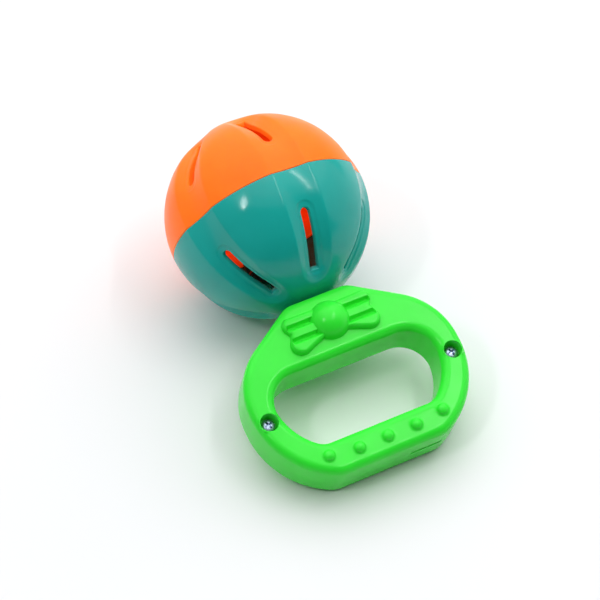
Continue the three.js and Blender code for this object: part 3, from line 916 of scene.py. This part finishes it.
def add_node(tree, kind, sources, values):
    """A shader node with some of its inputs linked to sources and others set to values."""
    node = tree.nodes.new("ShaderNode" + kind)
    for name, value in values.items():
        node.inputs[name].default_value = value
    for name, source in sources.items():
        tree.links.new(source, node.inputs[name])
    return node


def map_range(tree, value, low, high, to_low, to_high):
    """A value moved from one range to another."""
    ends = {"From Min": low, "From Max": high, "To Min": to_low, "To Max": to_high}
    return add_node(tree, "MapRange", {"Value": value}, ends).outputs["Result"]


class Shader:
    """A node material that is written as a chain of short calls."""

    def __init__(self, name):
        self.material = bpy.data.materials.new(name)
        self.material.use_nodes = True
        self.tree = self.material.node_tree
        self.nodes, self.links = self.tree.nodes, self.tree.links
        self.surface = self.nodes["Principled BSDF"]
        self.where = self.nodes.new("ShaderNodeTexCoord").outputs["Object"]

    def noise(self, scale, detail=4, roughness=0.5, stretch=None):
        source = self.where
        if stretch:
            source = add_node(self.tree, "Mapping", {"Vector": source}, {"Scale": stretch}).outputs["Vector"]
        values = {"Scale": scale, "Detail": detail, "Roughness": roughness}
        return add_node(self.tree, "TexNoise", {"Vector": source}, values).outputs["Fac"]

    def range(self, value, *ends):
        return map_range(self.tree, value, *ends)

    def mix(self, factor, first, second):
        node = self.nodes.new("ShaderNodeMix")
        node.data_type = "RGBA"
        for socket, color in (("A", first), ("B", second)):
            target = [s for s in node.inputs if s.name == socket and s.type == "RGBA"][0]
            if isinstance(color, tuple):
                target.default_value = (*color, 1)
            else:
                self.links.new(color, target)
        self.links.new(factor, node.inputs["Factor"])
        return [s for s in node.outputs if s.type == "RGBA"][0]

    def bump(self, height, strength, distance):
        node = add_node(self.tree, "Bump", {"Height": height}, {"Strength": strength, "Distance": distance})
        previous = self.surface.inputs["Normal"].links
        if previous:
            self.links.new(previous[0].from_socket, node.inputs["Normal"])
        self.links.new(node.outputs["Normal"], self.surface.inputs["Normal"])

    def put(self, name, value):
        socket = self.surface.inputs[name]
        if isinstance(value, bpy.types.NodeSocket):
            self.links.new(value, socket)
        else:
            socket.default_value = value


def linear(color):
    """A display colour given as 0 to 255, as linear light."""
    return tuple(
        c / 12.92 if c <= 0.04045 else ((c + 0.055) / 1.055) ** 2.4 for c in (v / 255 for v in color)
    )


def plastic(name, color, tint, roughness, gloss, scatter, scatter_color, depth, painted_glow=0.0):
    """Glossy moulded plastic: faint mottling, uneven gloss, slight orange peel, hairline scratches and, where
    it is asked for, a painted glow that gives off light of its own.
    """
    shader = Shader(name)
    cloud = shader.noise(45, detail=3)
    shader.put("Base Color", shader.mix(shader.range(cloud, 0.35, 0.65, 0, 1), linear(color), linear(tint)))
    smear = shader.noise(110, detail=5, roughness=0.6)
    shader.put("Roughness", shader.range(smear, 0.3, 0.7, roughness - 0.04, roughness + 0.06))
    shader.put("IOR", PLASTIC_IOR)
    shader.put("Specular IOR Level", gloss)
    shader.put("Subsurface Weight", scatter)
    shader.put("Subsurface Radius", scatter_color)
    shader.put("Subsurface Scale", depth)
    # Painted glow: emission that makes the plastic shine like a lamp, standing in for light passing through
    # it.
    shader.put("Emission Color", PAINTED_GLOW_COLOR)
    shader.put("Emission Strength", painted_glow)
    shader.bump(shader.noise(260, detail=2), strength=0.05, distance=0.0004)
    scratches = shader.noise(900, detail=3, roughness=0.7, stretch=(1, 0.08, 1))
    shader.bump(scratches, strength=0.03, distance=0.0001)
    return shader.material


def metal(name, color, tint, roughness, grain):
    """Plated metal with small stains, uneven polish and fine grain."""
    shader = Shader(name)
    stain = shader.noise(500, detail=5, roughness=0.6)
    shader.put("Base Color", shader.mix(shader.range(stain, 0.4, 0.7, 0, 1), linear(color), linear(tint)))
    shader.put("Metallic", 1.0)
    shader.put("Roughness", shader.range(shader.noise(900, 4), 0.3, 0.7, roughness - 0.08, roughness + 0.12))
    shader.bump(shader.noise(2500, detail=3), strength=grain, distance=0.0001)
    return shader.material


# The orange shell gets a painted glow, so that the inside seen through the slots shines red-orange.
ORANGE = plastic(
    "orange plastic", color=(255, 124, 32), tint=(255, 118, 26),
    roughness=0.32, gloss=0.13, scatter=0.7, scatter_color=(1.0, 0.3, 0.05), depth=0.004, painted_glow=0.28,
)
TEAL = plastic(
    "teal plastic", color=(25, 168, 159), tint=(20, 161, 152),
    roughness=0.15, gloss=0.32, scatter=0.3, scatter_color=(0.2, 0.8, 0.7), depth=0.0008,
)
GREEN = plastic(
    "green plastic", color=(56, 235, 60), tint=(50, 228, 54),
    roughness=0.2, gloss=0.25, scatter=0.3, scatter_color=(0.3, 1.0, 0.3), depth=0.001,
)
ZINC = metal("zinc-plated steel", color=(170, 185, 205), tint=(120, 135, 155), roughness=0.28, grain=0.2)
NICKEL = metal("dull nickel", color=(120, 112, 100), tint=(70, 62, 54), roughness=0.38, grain=0.3)
STEEL = metal("plain steel", color=(150, 150, 150), tint=(90, 88, 86), roughness=0.3, grain=0.2)

# ---- The pieces ----

cap_surface, _ = ball_half(1, math.pi / 2, 0)
cap_surface.build("ball_cap_fine", "ball", "orange_plastic", ORANGE, "ball_cap_shell")

NECK_COLUMNS = 16  # of points on a sector's edge beside the neck
neck_latitude = math.acos((NECK_RADIUS + NECK_FOOT) / BALL_RADIUS)
neck_surface, neck_tops = ball_half(-1, neck_latitude, NECK_COLUMNS)
neck(neck_surface, neck_tops)
neck_surface.build("ball_neck_fine", "ball", "teal_plastic", TEAL, "ball_neck_shell")

front = handle_half(1).build("handle_front_fine", "handle", "green_plastic", GREEN, "handle_front_half")
rear = handle_half(-1).build("handle_rear_fine", "handle", "green_plastic", GREEN, "handle_rear_half")
NOTCH_X, NOTCH_HALF, NOTCH_HEIGHT, NOTCH_DEPTH = 13.4, 6, 1.2, 1.7
notch = box_mesh(
    (NOTCH_X - NOTCH_HALF, -BOTTOM - 1, -1),  # a little outside of the half
    (NOTCH_X + NOTCH_HALF, -BOTTOM + NOTCH_DEPTH, NOTCH_HEIGHT),
)
cut(front, neck_seat(), notch)
cut(rear, neck_seat())

screw_piece("screw_left_fine", "handle_screw_left", *SCREWS[0], ZINC)
screw_piece("screw_right_fine", "handle_screw_right", *SCREWS[1], ZINC)


# ---- Bell ----

BELL_RADIUS, BELL_WALL, BELL_RIM, BELL_TILT = 9.35, 0.5, 10.05, math.radians(28)
BELL_SEAM, BELL_SHEET, BELL_ROUND = 0.17, 0.46, 0.15  # half the seam, the rim's thickness and rounding
SLIT_WIDTH, SLIT_END, SLIT_HOLE = 1.7, 6.2, 1.7
BELL_CENTRE = Vector(roll["pos_m"])
BELL_PLACE = (
    Matrix.Translation(BELL_CENTRE)
    @ Matrix.Rotation(BELL_TILT, 4, "X")
    @ Matrix.Rotation(BELL_TILT, 4, "Z")
    @ Matrix.Scale(MM, 4)
)


def bell_cup(name, node, side):
    """One stamped cup of the bell, with its flat rim; the lower cup has the slits."""
    inner = BELL_RADIUS - BELL_WALL
    arcs = np.linspace(math.pi / 2, 0.04, 24)
    low, high = BELL_SEAM, BELL_SEAM + BELL_SHEET
    profile = [(inner * math.cos(a), inner * math.sin(a)) for a in arcs if inner * math.sin(a) > low]
    profile[0] = (0, inner)
    profile += [(inner, low), (BELL_RIM - 0.2, low), (BELL_RIM, low + BELL_ROUND)]
    profile += [(BELL_RIM, high - BELL_ROUND), (BELL_RIM - BELL_ROUND, high)]
    back = [(BELL_RADIUS * math.cos(a), BELL_RADIUS * math.sin(a)) for a in arcs[::-1]]
    profile += [(r, h) for r, h in back if h > high + 0.05]
    profile[-1] = (0, BELL_RADIUS)
    flip = Matrix.Identity(4) if side > 0 else Matrix.Rotation(math.pi, 4, "X")
    mesh = lathe_mesh(profile, 72, BELL_PLACE @ flip)
    piece = finish_piece(mesh, name, "bell", NICKEL, node, 30)
    if side < 0:
        cut(piece, *bell_slits())


def bell_slits():
    """Cutters for two crossing slits and the round holes at their four ends."""
    cutters = []
    for index in range(2):
        turn = Matrix.Rotation(index * math.pi / 2, 4, "Y")
        low = (-SLIT_END, -1.5 * BELL_RADIUS, -SLIT_WIDTH / 2)
        slab = box_mesh(low, (SLIT_END, -BELL_RADIUS / 2, SLIT_WIDTH / 2))
        slab.transform(BELL_PLACE @ turn @ LOCAL.inverted())
        cutters.append(slab)
    for index in range(4):
        turn = Matrix.Rotation(index * math.pi / 2, 4, "Y")
        profile = [(0, -1.5 * BELL_RADIUS), (SLIT_HOLE, -1.5 * BELL_RADIUS), (SLIT_HOLE, -3), (0, -3)]
        hole = lathe_mesh(profile, 24, BELL_PLACE @ turn @ Matrix.Translation((SLIT_END, 0, 0)))
        cutters.append(hole)
    return cutters


bell_cup("bell_upper_fine", "bell_upper_cup", 1)
bell_cup("bell_lower_fine", "bell_lower_cup", -1)


def pellet_piece():
    """The steel ball in the bell, as large as its node."""
    low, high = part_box("bell_pellet")
    middle = (low + high) / 2
    radius = (high.z - low.z) / 2 / MM
    turns = np.linspace(-math.pi / 2, math.pi / 2, 17)
    profile = [(radius * math.cos(a), radius * math.sin(a)) for a in turns]
    profile[0], profile[-1] = (0, -radius), (0, radius)
    place = Matrix.Translation(middle) @ Matrix.Rotation(math.pi / 2, 4, "X") @ Matrix.Scale(MM, 4)
    mesh = lathe_mesh(profile, 32, place)
    finish_piece(mesh, "pellet_fine", "pellet", STEEL, "bell_pellet")


pellet_piece()

# ---- Floor, lights and camera ----

CAMERA_PLACE = (-251.07, -302.85, 781.76)  # this and the camera's directions are in the rattle's frame
CAMERA_FORWARD = (0.28724, 0.31158, -0.90577)
CAMERA_DOWN = (-0.34546, -0.84828, -0.40136)
LENS_MM = 146.967
CEILING_TOWARDS = (0.2, 0.45, 1)
CEILING_DISTANCE = 1.3
CEILING_SIZES = (1.5, 2.6, 4.0)  # three disks behind each other, so that the light fades towards its rim
CEILING_RADIANCE = 0.6
ROOM_FRONT, ROOM_BACK = 0.02, 0.48  # the room's own light, from the grip's side and from the ball's
FLOOR_HALF = 3.0
FLOOR_TONES = ((230, 231, 233), (232, 233, 235))
KEY_TOWARDS = (-0.66, -0.18, 0.99)
KEY_ALONG = (0.345, 0.704, 0.62)
KEY_SIZE = (0.27, 0.11)
KEY_POWER = 2.0
STRIP_TOWARDS = (0.33, -0.22, 0.92)
STRIP_ALONG = (0.316, 0.586, 0.028)
STRIP_SIZE = (0.6, 0.03)
STRIP_POWER = 1.5
SIDE_TOWARDS = (1.4, -0.3, 0.45)
SIDE_SIZE = 1.5
SIDE_POWER = 3.8


def stage_floor():
    """A plain white table."""
    mesh = bpy.data.meshes.new("floor")
    corners = [(x * FLOOR_HALF, y * FLOOR_HALF, 0) for x, y in ((-1, -1), (1, -1), (1, 1), (-1, 1))]
    mesh.from_pydata(corners, [], [(0, 1, 2, 3)])
    floor = linked("floor", mesh)
    shader = Shader("white table")
    tone = shader.range(shader.noise(6, detail=2), 0.3, 0.7, 0, 1)
    shader.put("Base Color", shader.mix(tone, *map(linear, FLOOR_TONES)))
    shader.put("Roughness", 0.6)
    shader.put("Specular IOR Level", 0.2)
    mesh.materials.append(shader.material)


def lamp(name, shape, towards, along, size, power):
    """A lamp a metre or so from the ball: its size is its length along the given direction and its width."""
    data = bpy.data.lights.new(name, "AREA")
    data.shape = shape
    data.size, data.size_y = size
    data.energy = power
    light = linked(name, data)
    back = Vector(towards).normalized()
    side = back.cross(Vector(along)).normalized()
    turn = Matrix((side.cross(back), side, back)).transposed().to_4x4()
    light.matrix_world = Matrix.Translation(CENTRE + Vector(towards)) @ turn


def stage_lights():
    """Room light, a wide soft ceiling light behind the rattle, and three lamps: key, strip and side."""
    world = bpy.data.worlds.new("studio")
    world.use_nodes = True
    tree = world.node_tree
    background = tree.nodes["Background"].inputs
    background["Color"].default_value = (1, 1, 1, 1)
    around = tree.nodes.new("ShaderNodeTexCoord").outputs["Generated"]
    forward = add_node(tree, "SeparateXYZ", {"Vector": around}, {}).outputs["Y"]
    tree.links.new(map_range(tree, forward, -1, 1, ROOM_FRONT, ROOM_BACK), background["Strength"])
    bpy.context.scene.world = world
    towards = Vector(CEILING_TOWARDS).normalized()
    for index, size in enumerate(CEILING_SIZES):
        place = towards * (CEILING_DISTANCE + 0.01 * index)
        power = CEILING_RADIANCE * math.pi**2 * (size / 2) ** 2
        lamp("ceiling", "ELLIPSE", place, ACROSS, (size, size), power)
    lamp("key", "ELLIPSE", KEY_TOWARDS, KEY_ALONG, KEY_SIZE, KEY_POWER)
    lamp("strip", "RECTANGLE", STRIP_TOWARDS, STRIP_ALONG, STRIP_SIZE, STRIP_POWER)
    lamp("side", "ELLIPSE", SIDE_TOWARDS, AXIS, (SIDE_SIZE, SIDE_SIZE), SIDE_POWER)


def stage_camera():
    """A long lens above the grip's end, which looks down along the rattle."""
    data = bpy.data.cameras.new("camera")
    data.sensor_width = 36
    data.lens = LENS_MM
    data.clip_start, data.clip_end = 0.01, 20
    camera = linked("camera", data)
    turn = LOCAL.to_3x3().normalized()
    back = turn @ -Vector(CAMERA_FORWARD)
    up = turn @ -Vector(CAMERA_DOWN)
    right = up.cross(back)
    camera.matrix_world = Matrix.Translation(LOCAL @ Vector(CAMERA_PLACE)) @ Matrix(
        (right, up, back)
    ).transposed().to_4x4()
    bpy.context.scene.camera = camera


stage_floor()
stage_lights()
stage_camera()
bpy.context.scene.view_settings.view_transform = "Standard"
